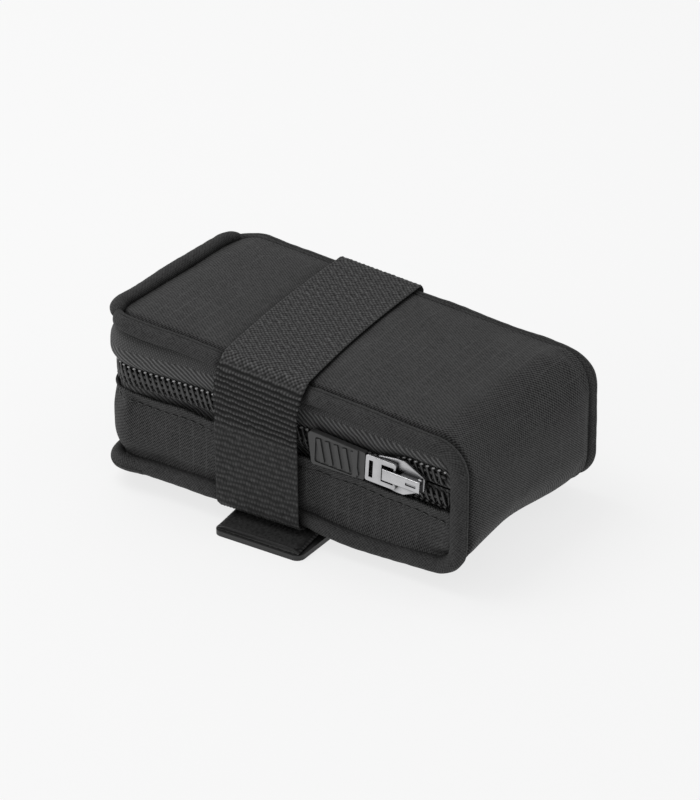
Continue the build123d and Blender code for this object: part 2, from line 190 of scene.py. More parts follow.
def rounded(corners, radii, step):
    """Points, left-hand normals and running length along a 2-D polyline with round corners."""
    corners = [np.array(c, float) for c in corners]
    pieces = []
    start = corners[0]
    for k in range(1, len(corners) - 1):
        a, b, c = corners[k - 1], corners[k], corners[k + 1]
        d0 = (b - a) / np.linalg.norm(b - a)
        d1 = (c - b) / np.linalg.norm(c - b)
        turn = math.atan2(d0[0] * d1[1] - d0[1] * d1[0], d0 @ d1)
        reach = radii[k - 1] * math.tan(abs(turn) / 2)
        pieces.append(line_points(start, b - d0 * reach, step))
        pieces.append(arc_points(b - d0 * reach, d0, turn, radii[k - 1], step))
        start = b + d1 * reach
    pieces.append(line_points(start, corners[-1], step))
    points = np.vstack([p[0] for p in pieces])
    normals = np.vstack([p[1] for p in pieces])
    keep = np.r_[True, np.linalg.norm(np.diff(points, axis=0), axis=1) > 1e-6]
    points, normals = points[keep], normals[keep]
    return points, normals, running_length(points)


def line_points(a, b, step):
    d = b - a
    count = max(1, int(round(np.linalg.norm(d) / step)))
    t = np.linspace(0, 1, count + 1)[:, None]
    unit = d / np.linalg.norm(d)
    return a + t * d, np.tile([-unit[1], unit[0]], (count + 1, 1))


def arc_points(start, direction, turn, radius, step):
    count = max(4, int(round(abs(turn) * radius / step)))
    side = math.copysign(1, turn)
    left = np.array([-direction[1], direction[0]])
    centre = start + left * side * radius
    angles = np.linspace(0, turn, count + 1)
    c, s = np.cos(angles)[:, None], np.sin(angles)[:, None]
    normals = left * c - direction * s
    return centre - normals * side * radius, normals


def grid_faces(rows, columns, wrap_columns=False):
    """Quads of a grid whose vertices run row by row."""
    c = np.arange(columns if wrap_columns else columns - 1)
    r, c = np.meshgrid(np.arange(rows - 1), c, indexing="ij")
    r1, c1 = r + 1, (c + 1) % columns
    quads = [r * columns + c, r * columns + c1, r1 * columns + c1, r1 * columns + c]
    return np.stack(quads, -1).reshape(-1, 4)


def plain_mesh(name, points, faces):
    mesh = bpy.data.meshes.new(name)
    mesh.from_pydata([tuple(p) for p in points], [], [list(map(int, f)) for f in faces])
    return mesh


def add_object(name, data):
    added = bpy.data.objects.new(name, data)
    bpy.context.scene.collection.objects.link(added)
    return added


def make_mesh(name, points, faces, material, uv=None):
    """A mesh object from millimetre points; uv is one pair a point, in millimetres of cloth."""
    mesh = plain_mesh(name, np.asarray(points) * MM, faces)
    if uv is not None:
        layer = mesh.uv_layers.new(name="cloth")
        corner = np.zeros(len(mesh.loops), np.int32)
        mesh.loops.foreach_get("vertex_index", corner)
        layer.data.foreach_set("uv", np.asarray(uv, np.float32)[corner].ravel())
    mesh.polygons.foreach_set("use_smooth", [True] * len(mesh.polygons))
    mesh.materials.append(material)
    mesh.update()
    return add_object(name, mesh)


def join_parts(parts):
    """Several (points, faces, uv) in one."""
    points, faces, uvs, base = [], [], [], 0
    for p, f, uv in parts:
        points.append(p)
        faces.extend([[i + base for i in face] for face in f])
        uvs.append(uv)
        base += len(p)
    return np.vstack(points), faces, np.vstack(uvs)


def tube(centres, side, up, radius, ring):
    """A closed tube round centres in the plane of side and up; radius is one number, a row
    or a grid."""
    count = len(centres)
    if np.ndim(radius) == 1:
        radius = np.asarray(radius, float).reshape(-1, 1)
    radius = np.broadcast_to(radius, (count, ring))
    angle = np.arange(ring) * TAU / ring
    points = (
        centres[:, None, :]
        + radius[:, :, None] * np.cos(angle)[None, :, None] * side[:, None, :]
        + radius[:, :, None] * np.sin(angle)[None, :, None] * up[:, None, :]
    )
    faces = grid_faces(count, ring, wrap_columns=True).tolist()
    faces.append(list(range(ring))[::-1])
    faces.append(list(range((count - 1) * ring, count * ring)))
    around = angle * np.mean(radius)
    uv = np.stack(np.meshgrid(running_length(centres), around, indexing="ij"), -1).reshape(-1, 2)
    return points.reshape(-1, 3), faces, uv


def path_frames(centres):
    """Two unit vectors square to a curve, carried along it without twist."""
    tangent = unit_rows(np.gradient(centres, axis=0))
    side = np.zeros_like(tangent)
    seed = np.array([0.0, 0.0, 1.0]) if abs(tangent[0][2]) < 0.9 else np.array([0.0, 1.0, 0.0])
    side[0] = np.cross(seed, tangent[0])
    for k in range(len(centres)):
        previous = side[k - 1] if k else side[0]
        side[k] = previous - (previous @ tangent[k]) * tangent[k]
        side[k] /= np.linalg.norm(side[k])
    return side, np.cross(tangent, side)


def thread(line, radius, ring):
    """A tube along a curve."""
    side, up = path_frames(line)
    return tube(line, side, up, radius, ring)


# ---- cloth simulation

SIM_SCALE = 0.01  # a millimetre is a centimetre in the simulation, where the solver is steadier
SIM_FRAMES = 20


def inflate(points, faces, pinned, pressure, grow, cap):
    """The points after a short cloth simulation under pressure; grow is the spare fabric."""
    scene = bpy.context.scene
    cloth = add_object("sim", plain_mesh("sim", points * SIM_SCALE, faces))
    pins = cloth.vertex_groups.new(name="pins")
    for index in np.flatnonzero(pinned > 0):
        pins.add([int(index)], float(pinned[index]), "REPLACE")
    modifier = cloth.modifiers.new("cloth", "CLOTH")
    settings = modifier.settings
    settings.vertex_group_mass = "pins"
    settings.quality = 6
    settings.mass = 0.3
    settings.tension_stiffness = 25
    settings.compression_stiffness = 12
    settings.shear_stiffness = 6
    settings.bending_stiffness = 0.6
    settings.use_pressure = True
    settings.uniform_pressure_force = pressure
    settings.shrink_min = -grow
    settings.effector_weights.gravity = 0
    modifier.point_cache.frame_start = 1
    modifier.point_cache.frame_end = SIM_FRAMES
    for number in range(1, SIM_FRAMES + 1):
        scene.frame_set(number)
    depsgraph = bpy.context.evaluated_depsgraph_get()
    applied = bpy.data.meshes.new_from_object(cloth.evaluated_get(depsgraph))
    moved = np.array([v.co for v in applied.vertices]) / SIM_SCALE
    bpy.data.objects.remove(cloth)
    scene.frame_set(1)
    shift = moved - points
    size = np.linalg.norm(shift, axis=1)
    return points + shift * (cap * np.tanh(size / cap) / np.maximum(size, 1e-9))[:, None]


# ---- materials


class Recipe:
    """A node material under construction."""

    def __init__(self, name):
        self.material = bpy.data.materials.new(name)
        self.material.use_nodes = True
        self.tree = self.material.node_tree
        self.shader = self.tree.nodes["Principled BSDF"]
        coordinates = self.tree.nodes.new("ShaderNodeTexCoord")
        self.place = coordinates.outputs["Object"]

    def node(self, kind, inputs=None, **settings):
        made = self.tree.nodes.new(kind)
        for key, value in settings.items():
            setattr(made, key, value)
        for key, value in (inputs or {}).items():
            self.put(made.inputs[key], value)
        return made

    def put(self, socket, value):
        if isinstance(value, bpy.types.NodeSocket):
            self.tree.links.new(value, socket)
        else:
            socket.default_value = value

    def math(self, operation, a, b=0.0, c=0.0):
        made = self.tree.nodes.new("ShaderNodeMath")
        made.operation = operation
        for socket, value in zip(made.inputs, (a, b, c)):
            self.put(socket, value)
        return made.outputs[0]

    def times(self, a, b):
        return self.math("MULTIPLY", a, b)

    def times_plus(self, a, b, c):
        return self.math("MULTIPLY_ADD", a, b, c)

    def mix(self, factor, low, high, **settings):
        inputs = {0: factor, 6: low, 7: high}
        return self.node("ShaderNodeMix", inputs, data_type="RGBA", **settings).outputs[2]

    def cloth_axes(self):
        """The two cloth coordinates, in millimetres."""
        mapped = self.node("ShaderNodeUVMap", uv_map="cloth").outputs["UV"]
        split = self.node("ShaderNodeSeparateXYZ", {0: mapped})
        return split.outputs["X"], split.outputs["Y"]

    def noise(self, scale, detail):
        inputs = {"Vector": self.place, "Scale": scale, "Detail": detail, "Roughness": 0.55}
        return self.node("ShaderNodeTexNoise", inputs).outputs[0]

    def ridge(self, u, v, period, degrees):
        """A 0 to 1 wave across the cloth, its ridges at that angle from u."""
        a = math.radians(degrees)
        along = self.times(u, math.sin(a) * TAU / period)
        total = self.times_plus(v, -math.cos(a) * TAU / period, along)
        return self.times_plus(self.math("SINE", total), 0.5, 0.5)

    def ramp(self, value, low, high):
        """A grey or colour between two, by value."""
        return self.mix(value, (*low, 1), (*high, 1))

    def scale_range(self, value, low, high):
        return self.times_plus(value, high - low, low)

    def painted_gap_shade(self, colour, reach, depth, power=1.5):
        """The colour with painted shade: darker in seams and gaps, where the surface is closed in
        within reach.
        """
        # Painted shade: an ambient occlusion node darkens the colour where the surface is closed
        # in.
        closed = self.node("ShaderNodeAmbientOcclusion", {"Distance": reach * MM}, samples=8)
        share = self.math("POWER", closed.outputs["AO"], power)
        rest = 1 - depth
        painted_dark = self.mix(1.0, colour, (rest, rest, rest, 1), blend_type="MULTIPLY")
        return self.mix(share, painted_dark, colour)

    def grey_with_painted_shade(self, tone, level, low, high, reach, depth):
        """A grey about level, from low to high times it by tone, with painted shade in seams and
        gaps.
        """
        grey = self.ramp(tone, shade(level * low), shade(level * high))
        return self.painted_gap_shade(grey, reach, depth)

    def finish(self, colour, roughness, height, distance, **values):
        self.put(self.shader.inputs["Base Color"], colour)
        self.put(self.shader.inputs["Roughness"], roughness)
        bumped = self.node(
            "ShaderNodeBump", {"Height": height, "Distance": distance * MM, "Strength": 1.0}
        )
        self.put(self.shader.inputs["Normal"], bumped.outputs[0])
        for key, value in values.items():
            label = key.replace("_", " ").title().replace("Ior", "IOR")
            self.shader.inputs[label].default_value = value
        return self.material


def shade(level):
    """A neutral grey."""
    return (level, level, level)


def twill(name, level, contrast, ripstop=0.0):
    """Fine diagonal twill with slight unevenness and, if asked, a faint ripstop grid."""
    r = Recipe(name)
    u, v = r.cloth_axes()
    diagonal = r.ridge(u, v, 0.7, 52)
    yarn = r.ridge(u, v, 0.95, -35)
    weave = r.times_plus(yarn, 0.35, r.times(diagonal, 0.65))
    cloudy = r.noise(90.0, 4.0)
    mottle = r.noise(1300.0, 2.0)
    tone = r.times_plus(weave, contrast, r.times(cloudy, 0.25))
    tone = r.times_plus(mottle, 0.8, tone)
    tone = r.math("ADD", tone, -0.025 - contrast / 2)
    height = r.times_plus(mottle, 0.3, weave)
    if ripstop:
        lines = r.math("MAXIMUM", grid_line(r, u), grid_line(r, v))
        worn = r.times(lines, r.scale_range(r.noise(40.0, 2.0), -ripstop, 3 * ripstop))
        tone = r.math("ADD", worn, tone)
        height = r.times_plus(lines, 0.8, height)
    # Painted shade: the grey is darkened in seams and gaps by ambient occlusion.
    colour = r.grey_with_painted_shade(tone, level, 0.05, 1.95, 4.0, 0.85)
    rough = r.scale_range(cloudy, 0.62, 0.82)
    return r.finish(
        colour, rough, height, 0.12,
        sheen_weight=0.03, sheen_roughness=0.45, specular_ior_level=0.08,
    )


RIPSTOP_SPACING = 5.2
RIPSTOP_HALF_LINE = 0.16


def grid_line(r, coordinate):
    """1 on the ripstop's thin lines."""
    phase = r.math("PINGPONG", coordinate, RIPSTOP_SPACING / 2)
    return r.math("LESS_THAN", phase, RIPSTOP_HALF_LINE)


def webbing_material(name, level):
    """Woven polypropylene: satin yarns, with painted light on the weave's crowns and painted shade
    in its gaps and in seams.
    """
    r = Recipe(name)
    u, v = r.cloth_axes()
    fibre = r.ridge(u, v, 0.22, 90)
    cloudy = r.noise(160.0, 4.0)
    speck = r.noise(2600.0, 2.0)
    crown = r.node("ShaderNodeAttribute", attribute_name="crown").outputs["Fac"]
    # Painted light and shade: the colour follows the relief's height, lighter on the crowns and
    # darker in the gaps.
    lit = r.math("POWER", crown, 1.8)
    tone = r.times_plus(lit, 0.8, r.times(cloudy, 0.12))
    tone = r.times_plus(speck, 0.16, tone)
    height = r.times_plus(speck, 0.6, r.times(fibre, 0.5))
    # Painted shade in seams and gaps, by ambient occlusion.
    colour = r.grey_with_painted_shade(tone, level, 0.02, 3.3, 3.0, 0.8)
    rough = r.scale_range(cloudy, 0.5, 0.72)
    return r.finish(colour, rough, height, 0.07, sheen_weight=0.03, specular_ior_level=0.12)


PEBBLE_START = 10.2  # height over the zip's centre line where the ribs end


def tape_material(name, level):
    """Zip tape: slanted ribs beside the coil, a pebbled plain weave above them."""
    r = Recipe(name)
    u, v = r.cloth_axes()
    cloudy = r.noise(220.0, 3.0)
    bend = r.times_plus(cloudy, 1.5, -0.75)
    ribs = r.ridge(r.math("ADD", u, bend), v, 1.5, 40)
    fine = r.ridge(u, v, 0.5, 12)
    crossing = r.times(r.ridge(u, v, 0.8, 58), r.ridge(u, v, 0.8, -48))
    pebble = r.times_plus(crossing, 0.7, 0.25)
    upper = r.math("GREATER_THAN", r.math("ADD", v, bend), PEBBLE_START)
    crest = r.times(r.math("POWER", ribs, 1.4), 0.95)
    ribbed = r.times_plus(fine, 0.2, crest)
    weave = r.node("ShaderNodeMix", {0: upper, 2: ribbed, 3: pebble}).outputs[0]
    speck = r.noise(2400.0, 2.0)
    tone = r.times_plus(weave, 0.7, r.times(speck, 0.35))
    # Painted shade: the grey is darkened in seams and gaps by ambient occlusion.
    colour = r.grey_with_painted_shade(tone, level, 0.02, 3.3, 3.0, 0.8)
    rough = r.scale_range(cloudy, 0.55, 0.8)
    return r.finish(colour, rough, weave, 0.35, sheen_weight=0.03, specular_ior_level=0.1)


def nylon(name, level):
    """Satin moulded nylon with fine draw marks."""
    r = Recipe(name)
    cloudy = r.noise(300.0, 3.0)
    scratch = r.noise(1500.0, 4.0)
    # Painted shade: the grey is darkened in gaps and recesses by ambient occlusion.
    colour = r.grey_with_painted_shade(cloudy, level, 0.75, 1.25, 2.5, 0.8)
    rough = r.scale_range(scratch, 0.26, 0.46)
    return r.finish(colour, rough, scratch, 0.02, specular_ior_level=0.6)


def rubber(name, level, roughness):
    """Moulded rubber: a fine matte grain and slight dusty clouds."""
    r = Recipe(name)
    cloudy = r.noise(120.0, 4.0)
    grain = r.noise(3200.0, 2.0)
    tone = r.times_plus(grain, 0.3, r.times(cloudy, 0.7))
    # Painted shade: the grey is darkened in gaps and recesses by ambient occlusion.
    colour = r.grey_with_painted_shade(tone, level, 0.72, 1.28, 2.0, 0.7)
    rough = r.scale_range(cloudy, roughness - 0.06, roughness + 0.1)
    return r.finish(colour, rough, grain, 0.03, specular_ior_level=0.45)


def nickel(name):
    """Tumbled nickel plate: bright faces, soft scratches, and painted shade that dulls the
    recesses.
    """
    r = Recipe(name)
    cloudy = r.noise(240.0, 4.0)
    drawn = r.node("ShaderNodeMapping", {"Vector": r.place, "Scale": (1.0, 1.0, 7.0)}).outputs[0]
    inputs = {"Vector": drawn, "Scale": 900.0, "Detail": 4.0}
    scratch = r.node("ShaderNodeTexNoise", inputs).outputs[0]
    plate = r.ramp(cloudy, (0.38, 0.38, 0.39), (0.62, 0.62, 0.63))
    # Painted shade: ambient occlusion darkens the plate's colour in the recesses.
    colour = r.painted_gap_shade(plate, 2.6, 0.93, power=2.2)
    rough = r.scale_range(scratch, 0.18, 0.45)
    return r.finish(colour, rough, scratch, 0.02, metallic=1.0)


def pile(name, level):
    """Hook and loop fuzz."""
    r = Recipe(name)
    tuft = r.noise(1300.0, 3.0)
    fine = r.noise(4200.0, 2.0)
    tone = r.times_plus(fine, 0.4, r.times(tuft, 0.6))
    # Painted shade: the grey is darkened in gaps and seams by ambient occlusion.
    colour = r.grey_with_painted_shade(tone, level, 0.3, 1.8, 3.0, 0.7)
    rough = r.scale_range(fine, 0.7, 0.95)
    return r.finish(colour, rough, tone, 0.30, sheen_weight=0.05, specular_ior_level=0.1)


FLOOR_LEVEL = 0.18
FLOOR_GLOW = 0.758


def floor_material():
    """A pale sweep, lit a little from below like a light table, so that shadows stay faint."""
    r = Recipe("studio_floor")
    cloudy = r.noise(3.0, 2.0)
    colour = r.ramp(cloudy, shade(FLOOR_LEVEL * 0.995), shade(FLOOR_LEVEL))
    r.shader.inputs["Emission Color"].default_value = (1, 1, 1, 1)
    return r.finish(colour, 0.9, cloudy, 0.0, specular_ior_level=0.1, emission_strength=FLOOR_GLOW)


SHELL = twill("shell_fabric", 0.042, 0.9, ripstop=0.16)
ROLL = twill("roll_fabric", 0.038, 0.5)
LINING = twill("lining_fabric", 0.08, 0.6)
WEBBING = webbing_material("webbing", 0.036)
TAPE = tape_material("zip_tape", 0.043)
COIL = nylon("zip_coil", 0.030)
# Ten times lighter than the coil: painted highlights, worn by the upper row's lock stitches.
PAINTED_HIGHLIGHT_NYLON = nylon("coil_stitch_painted_highlight", 0.30)
THREAD = nylon("thread", 0.030)
TAB_RUBBER = rubber("rubber_tab", 0.040, 0.5)
PLATE_RUBBER = rubber("rubber_plate", 0.022, 0.5)
METAL = nickel("slider_nickel")
PILE = pile("hook_loop_pile", 0.021)


# ---- outlines of the bag


def side_profile(step):
    """Top, front end and bottom of the bag's side view: points (x, z)."""
    top = [(-HALF_L, top_z(-HALF_L)), (HALF_L, top_z(HALF_L))]
    corners = top + [(HALF_L, BOTTOM_Z), (-HALF_L, BOTTOM_Z)]
    return rounded(corners, [FRONT_TOP, FRONT_BOTTOM], step)


def plan_outline(step, front_x):
    """Near side, rear end and far side of the bag's plan: points (x, y)."""
    corners = [(front_x, -HALF_W), (-HALF_L, -HALF_W), (-HALF_L, HALF_W), (front_x, HALF_W)]
    points, normals, length = rounded(corners, [REAR_CORNER, REAR_CORNER], step)
    points[:, 0] += far_bulge(points[:, 0]) * (points[:, 1] > 0)
    return points, normals, length


def far_bulge(x):
    """How far the far side's front end stands forward: the bag is stuffed fuller there."""
    return FAR_FRONT_BULGE * smooth((x - BULGE_START_X) / BULGE_RUN)


def plan_half_width(x):
    """Half the bag's width at x, less where the rear corners are round."""
    inset = np.clip(REAR_CORNER - (x + HALF_L), 0, REAR_CORNER)
    return HALF_W - (REAR_CORNER - np.sqrt(np.maximum(REAR_CORNER**2 - inset**2, 0)))


PROFILE_LENGTH = side_profile(1.0)[2][-1]


# ---- body of the bag

PANEL_CELL = 2.2
SKIN_LIFT = 2.8
FAR_FRONT_LIFT = 2.6
END_DROP = 3.2  # how far the skin dives under the rear rolls
END_DROP_RUN = 6.5
MIDDLE_COLUMNS = 33
EDGE_ROWS = (0.0, 0.8, 1.6, 2.2, 2.7, 3.2, 3.7, 4.3, 5.2)  # distances in from the seam


def panel_lift(run, x, y, half):
    """Height of the main panel's skin over the roll centres, before the cloth swells."""
    edge = half - np.abs(y)
    near = y < 0
    drop = np.where(near, 1.5 + 0.5 * smooth((x + 5) / 25), 1.1)
    seam_start = np.where(near, 2.0, 0.8)
    seam_width = np.where(near, 2.2, 1.6)
    lift = SKIN_LIFT - drop * (1 - smooth((edge - seam_start) / seam_width))
    at_front = smooth((x - BULGE_START_X) / BULGE_RUN)
    lift = lift + FAR_FRONT_LIFT * at_front * smooth((y + 10) / 45) * smooth(edge / 3)
    ends = np.minimum(run, PROFILE_LENGTH - run)
    return lift - END_DROP * np.exp(-((ends / END_DROP_RUN) ** 2))


def main_panel():
    """The padded fabric over the top, the front end and the bottom, swollen by simulation."""
    line, normals, run = side_profile(PANEL_CELL)
    middle = np.linspace(-1, 1, MIDDLE_COLUMNS) * (1 - EDGE_ROWS[-1] / HALF_W - 0.02)
    border = 1 - np.array(EDGE_ROWS) / HALF_W
    across = np.concatenate([-border, middle, border[::-1]])
    columns = len(across)
    half = plan_half_width(line[:, 0])
    y = half[:, None] * across[None, :]
    x = np.repeat(line[:, :1], columns, 1)
    s = np.repeat(run[:, None], columns, 1)
    lift = panel_lift(s, x, y, half[:, None])
    points = np.stack(
        [x + normals[:, :1] * lift, y, line[:, 1:] + normals[:, 1:] * lift], -1
    ).reshape(-1, 3)
    faces = grid_faces(len(line), columns)[:, ::-1]
    edge = (half[:, None] - np.abs(y)).ravel()
    ends = np.minimum(s, PROFILE_LENGTH - s).ravel()
    under_strap = strap_cover(points)
    pinned = np.where((edge < 4.0) | (ends < 3.5), 1.0, 0.35 * under_strap)
    flat_skin = points.copy()
    points = inflate(points, faces, pinned, pressure=2.4, grow=0.014, cap=2.6)
    on_front = smooth((flat_skin[:, 0] - 50) / 15)
    held = 1 - 0.85 * strap_cover(flat_skin)
    share = (0.45 + 0.55 * on_front) * held
    points = flat_skin + (points - flat_skin) * share[:, None]
    points[:, 2] += 0.10 * waves(points, 26.0, 3) * (edge > 3) * held
    uv = np.stack([s.ravel(), y.ravel()], -1)
    piece = make_mesh("main_panel_fabric", points, faces, SHELL, uv)
    thicken(piece, 1.3)
    subdivide(piece, 1)
    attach(piece, "bag")
    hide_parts("main_panel", "main_foam")


def strap_cover(points):
    """1 where the strap lies on the bag."""
    middle = strap_centre_x(points[:, 1])
    return 1 - smooth((np.abs(points[:, 0] - middle) - WEB_WIDTH / 2 + 1) / 4)


def thicken(piece, thickness):
    """Give a sheet its thickness, inward."""
    modifier = piece.modifiers.new("thickness", "SOLIDIFY")
    modifier.thickness = thickness * MM
    modifier.offset = -1


def subdivide(piece, levels):
    modifier = piece.modifiers.new("subdivision", "SUBSURF")
    modifier.levels = levels
    modifier.render_levels = levels


def lining():
    """The thin inner fabric, slightly rippled."""
    line, normals, run = side_profile(4.0)
    inside = box_mm("lining")
    y = np.linspace(inside[0][1], inside[1][1], 20)
    level = inside[1][2] - top_z(inside[0][0])
    s, across = np.meshgrid(run, y, indexing="ij")
    ripple = 0.18 * waves(np.stack([s.ravel(), across.ravel()], -1), 14.0, 8).reshape(s.shape)
    depth = min(level, -2.3) + ripple
    x = np.clip(line[:, :1], inside[0][0], None) + normals[:, :1] * depth
    z = line[:, 1:] + normals[:, 1:] * depth
    points = np.stack([x, across, z], -1).reshape(-1, 3)
    faces = grid_faces(len(line), len(y))
    uv = np.stack([s.ravel(), across.ravel()], -1)
    piece = make_mesh("inner_lining", points, faces, LINING, uv)
    thicken(piece, 0.4)
    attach(piece, "bag")
    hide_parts("lining")


HEM_STITCH = 3.6  # how far below the hem the topstitch runs
HEM_FOLD = [(-0.25, 0.45), (-0.95, 0.55), (-1.5, 0.1), (-1.6, -1.2), (-1.6, -5.0)]  # out, up
HEM_CLOTH = [0.5, 1.2, 1.8, 3.0, 7.0]  # cloth used up to each step of the fold
BAND_ROWS = 20
PANEL_SWELL = 3.0
REAR_SWELL_RUN = 34.0
SEAM_TUCK = 1.3
HEM_PULL = 0.45  # share of the swell that the hem holds back
STITCH_PITCH = 3.4
STITCH_LENGTH = 2.3
STITCH_R = 0.22
STITCH_LIFT = 0.27


def side_band():
    """The lower side panel round three sides, swollen, with a folded top hem."""
    line, normals, run = plan_outline(PANEL_CELL, HALF_L - 1.0)
    rows = BAND_ROWS
    x = line[:, 0]
    top = panel_edge(x) + 0.25 * along(run, 17.0, 5)
    low = np.full_like(top, BOTTOM_Z - 0.5)
    share = np.linspace(0, 1, rows)
    z = low[:, None] + (top - low)[:, None] * share[None, :]
    s = np.repeat(run[:, None], rows, 1)
    held_top = 1 - HEM_PULL * smooth((share - 0.6) / 0.4)
    swell = rear_share(run)[:, None] * (smooth(share * 2.5) * held_top)[None, :]
    seam = bump(z, BOTTOM_Z + ROLL_R, 1.7)
    lift = 0.2 + 0.5 * np.sin(math.pi * share)[None, :] + PANEL_SWELL * swell - SEAM_TUCK * seam
    points = along_plan(line, normals, lift, z)
    faces = grid_faces(len(line), rows)[:, ::-1]
    from_ends = np.minimum(s, run[-1] - s).ravel()
    height = np.repeat(share[None, :], len(line), 0).ravel()
    strap = strap_cover(points) * (np.abs(points[:, 1]) > HALF_W - 4)
    pinned = np.where((height < 0.12) | (from_ends < 3.0), 1.0, 0.25 * strap)
    pinned = np.maximum(pinned, np.where(height > 0.99, 0.55, 0.0))
    points = inflate(points, faces, pinned, pressure=1.6, grow=0.014, cap=2.6)
    points = points.reshape(len(line), rows, 3)
    outward = np.concatenate([normals, 0 * normals[:, :1]], 1)[:, None, :]
    rim = points[:, -1:, :]
    fold = [rim + outward * out + np.array([0, 0, rise]) for out, rise in HEM_FOLD]
    points = np.concatenate([points, *fold], 1)
    depth = np.concatenate([z, top[:, None] + np.array(HEM_CLOTH)[None, :]], 1)
    columns = points.shape[1]
    s = np.repeat(run[:, None], columns, 1)
    flat = points.reshape(-1, 3)
    from_top = (top[:, None] - depth).ravel()
    crease = 0.35 * bump(from_top, HEM_STITCH, 0.9) + 0.12 * waves(flat, 19.0, 11)
    flat = flat - np.repeat(outward, columns, 1).reshape(-1, 3) * crease[:, None]
    faces = grid_faces(len(line), columns)[:, ::-1]
    uv = np.stack([s.ravel(), depth.ravel()], -1)
    piece = make_mesh("side_panel_fabric", flat, faces, SHELL, uv)
    subdivide(piece, 2)
    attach(piece, "bag")
    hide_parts("side_panel", "side_foam")
    hem_stitches(flat.reshape(len(line), columns, 3)[:, :rows], outward[:, 0], run, top - low)


def rear_share(run):
    """1 on the rear end and its corners, falling to 0 along the sides: the bag is fuller there."""
    from_middle = np.abs(run - (run[0] + run[-1]) / 2)
    return 1 - smooth((from_middle - HALF_W - 2) / REAR_SWELL_RUN)


def hem_stitches(surface, outward, run, height):
    """The dashed topstitch below the folded hem."""
    rows = surface.shape[1]
    place = (1 - HEM_STITCH / height) * (rows - 1)
    lower = np.floor(place).astype(int)
    part = (place - lower)[:, None]
    index = np.arange(len(run))
    track = surface[index, lower] * (1 - part) + surface[index, lower + 1] * part
    steady = np.pad(track, ((1, 1), (0, 0)), mode="edge")
    track = (steady[:-2] + 2 * track + steady[2:]) / 4 + outward * STITCH_LIFT
    parts = []
    for start in np.arange(4.0, run[-1] - 6, STITCH_PITCH):
        stations = np.linspace(start, start + STITCH_LENGTH, 6)
        line = np.stack([np.interp(stations, run, track[:, k]) for k in range(3)], -1)
        radius = STITCH_R * np.array([0.25, 0.8, 1.0, 1.0, 0.8, 0.25])
        parts.append(thread(line, radius, ring=6))
    points, faces, uv = join_parts(parts)
    piece = make_mesh("hem_stitches", points, faces, THREAD, uv)
    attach(piece, "bag")


def along_plan(line, normals, lift, z):
    """Points of a wall: the plan outline moved out by lift, at heights z."""
    x = line[:, :1] + normals[:, :1] * lift
    y = line[:, 1:] + normals[:, 1:] * lift
    return np.stack([x + 0 * z, y + 0 * z, z], -1).reshape(-1, 3)


# ---- corded rolls

ROLL_STEP = 0.9
ROLL_RING = 28
CORNER_DIP = 1.2
TOP_TRIM = 8.0
DROOP_X = 42.0  # middle of the bottom rolls' sag, and its half length
DROOP_RUN = 24.0
NEAR_DROOP = 2.0
FAR_DROOP = 1.2


def roll_radius(centres, seed, pucker, taper):
    """Radius over the tube: uneven stuffing, small puckers along the seam, tucked ends."""
    count = len(centres)
    angle = np.arange(ROLL_RING) * TAU / ROLL_RING
    run = running_length(centres)
    s, a = np.meshgrid(run, angle, indexing="ij")
    around = np.stack([s.ravel(), 9 * np.cos(a).ravel(), 9 * np.sin(a).ravel()], -1)
    lumps = 0.10 * waves(around, 24.0, seed)
    lumps = lumps + 0.045 * waves(around * [1, 0.4, 0.4], 5.0, seed + 1)
    fine = pucker * waves(around * [1, 0.25, 0.25], 2.6, seed + 2)
    radius = ROLL_R * 0.985 + (lumps + fine).reshape(count, ROLL_RING)
    ends = np.minimum(run, run[-1] - run) / (taper * ROLL_R)
    tucked = np.sqrt(np.clip(1 - (1 - np.clip(ends, 0, 1)) ** 2, 0.02, 1))
    return radius * tucked[:, None]


def side_roll(name, side, seed):
    """The roll along the top edge, front end and bottom edge of one side face."""
    line, normals, run = side_profile(ROLL_STEP)
    total = run[-1]
    keep = (run > 0.3) & (run < total - 4.0)
    line, normals, run = line[keep], normals[keep], run[keep]
    x, z = line[:, 0], line[:, 1]
    near = side < 0
    on_bottom = run > total * 0.55
    sag = NEAR_DROOP if near else FAR_DROOP
    droop = np.where(on_bottom, sag * bump(x, DROOP_X, DROOP_RUN), 0.0)
    inset = np.clip(REAR_CORNER - (x + HALF_L), 0, REAR_CORNER)
    tuck = REAR_CORNER - np.sqrt(REAR_CORNER**2 - inset**2)
    from_ends = np.minimum(run - run[0], run[-1] - run)
    sway = 0.35 * along(run, 38.0, seed + 5) * smooth(from_ends / 15)
    front_bulge = far_bulge(x) * (NEAR_FRONT_BULGE / FAR_FRONT_BULGE if near else 1.0)
    pressed = (0.9 if near else 0.0) * (1 - smooth((np.abs(x - NEAR_TOP_X) - 15) / 6))
    flat_y = side * (HALF_W - tuck - pressed) + 0.6 * sway * (pressed == 0)
    rear_dip = CORNER_DIP * (1 - smooth((x + HALF_L) / 13)) * ~on_bottom
    level = z - droop + 0.3 * sway - pressed * ~on_bottom - rear_dip
    centres = np.stack([x + front_bulge, flat_y, level], -1)
    outward = np.stack([normals[:, 0], 0 * x, normals[:, 1]], -1)
    across = np.tile([0.0, 1.0, 0.0], (len(x), 1))
    radius = roll_radius(centres, seed, 0.03, 0.8)
    points, faces, uv = tube(centres, outward, across, radius, ROLL_RING)
    return roll_piece(name, points, [f[::-1] for f in faces], uv)


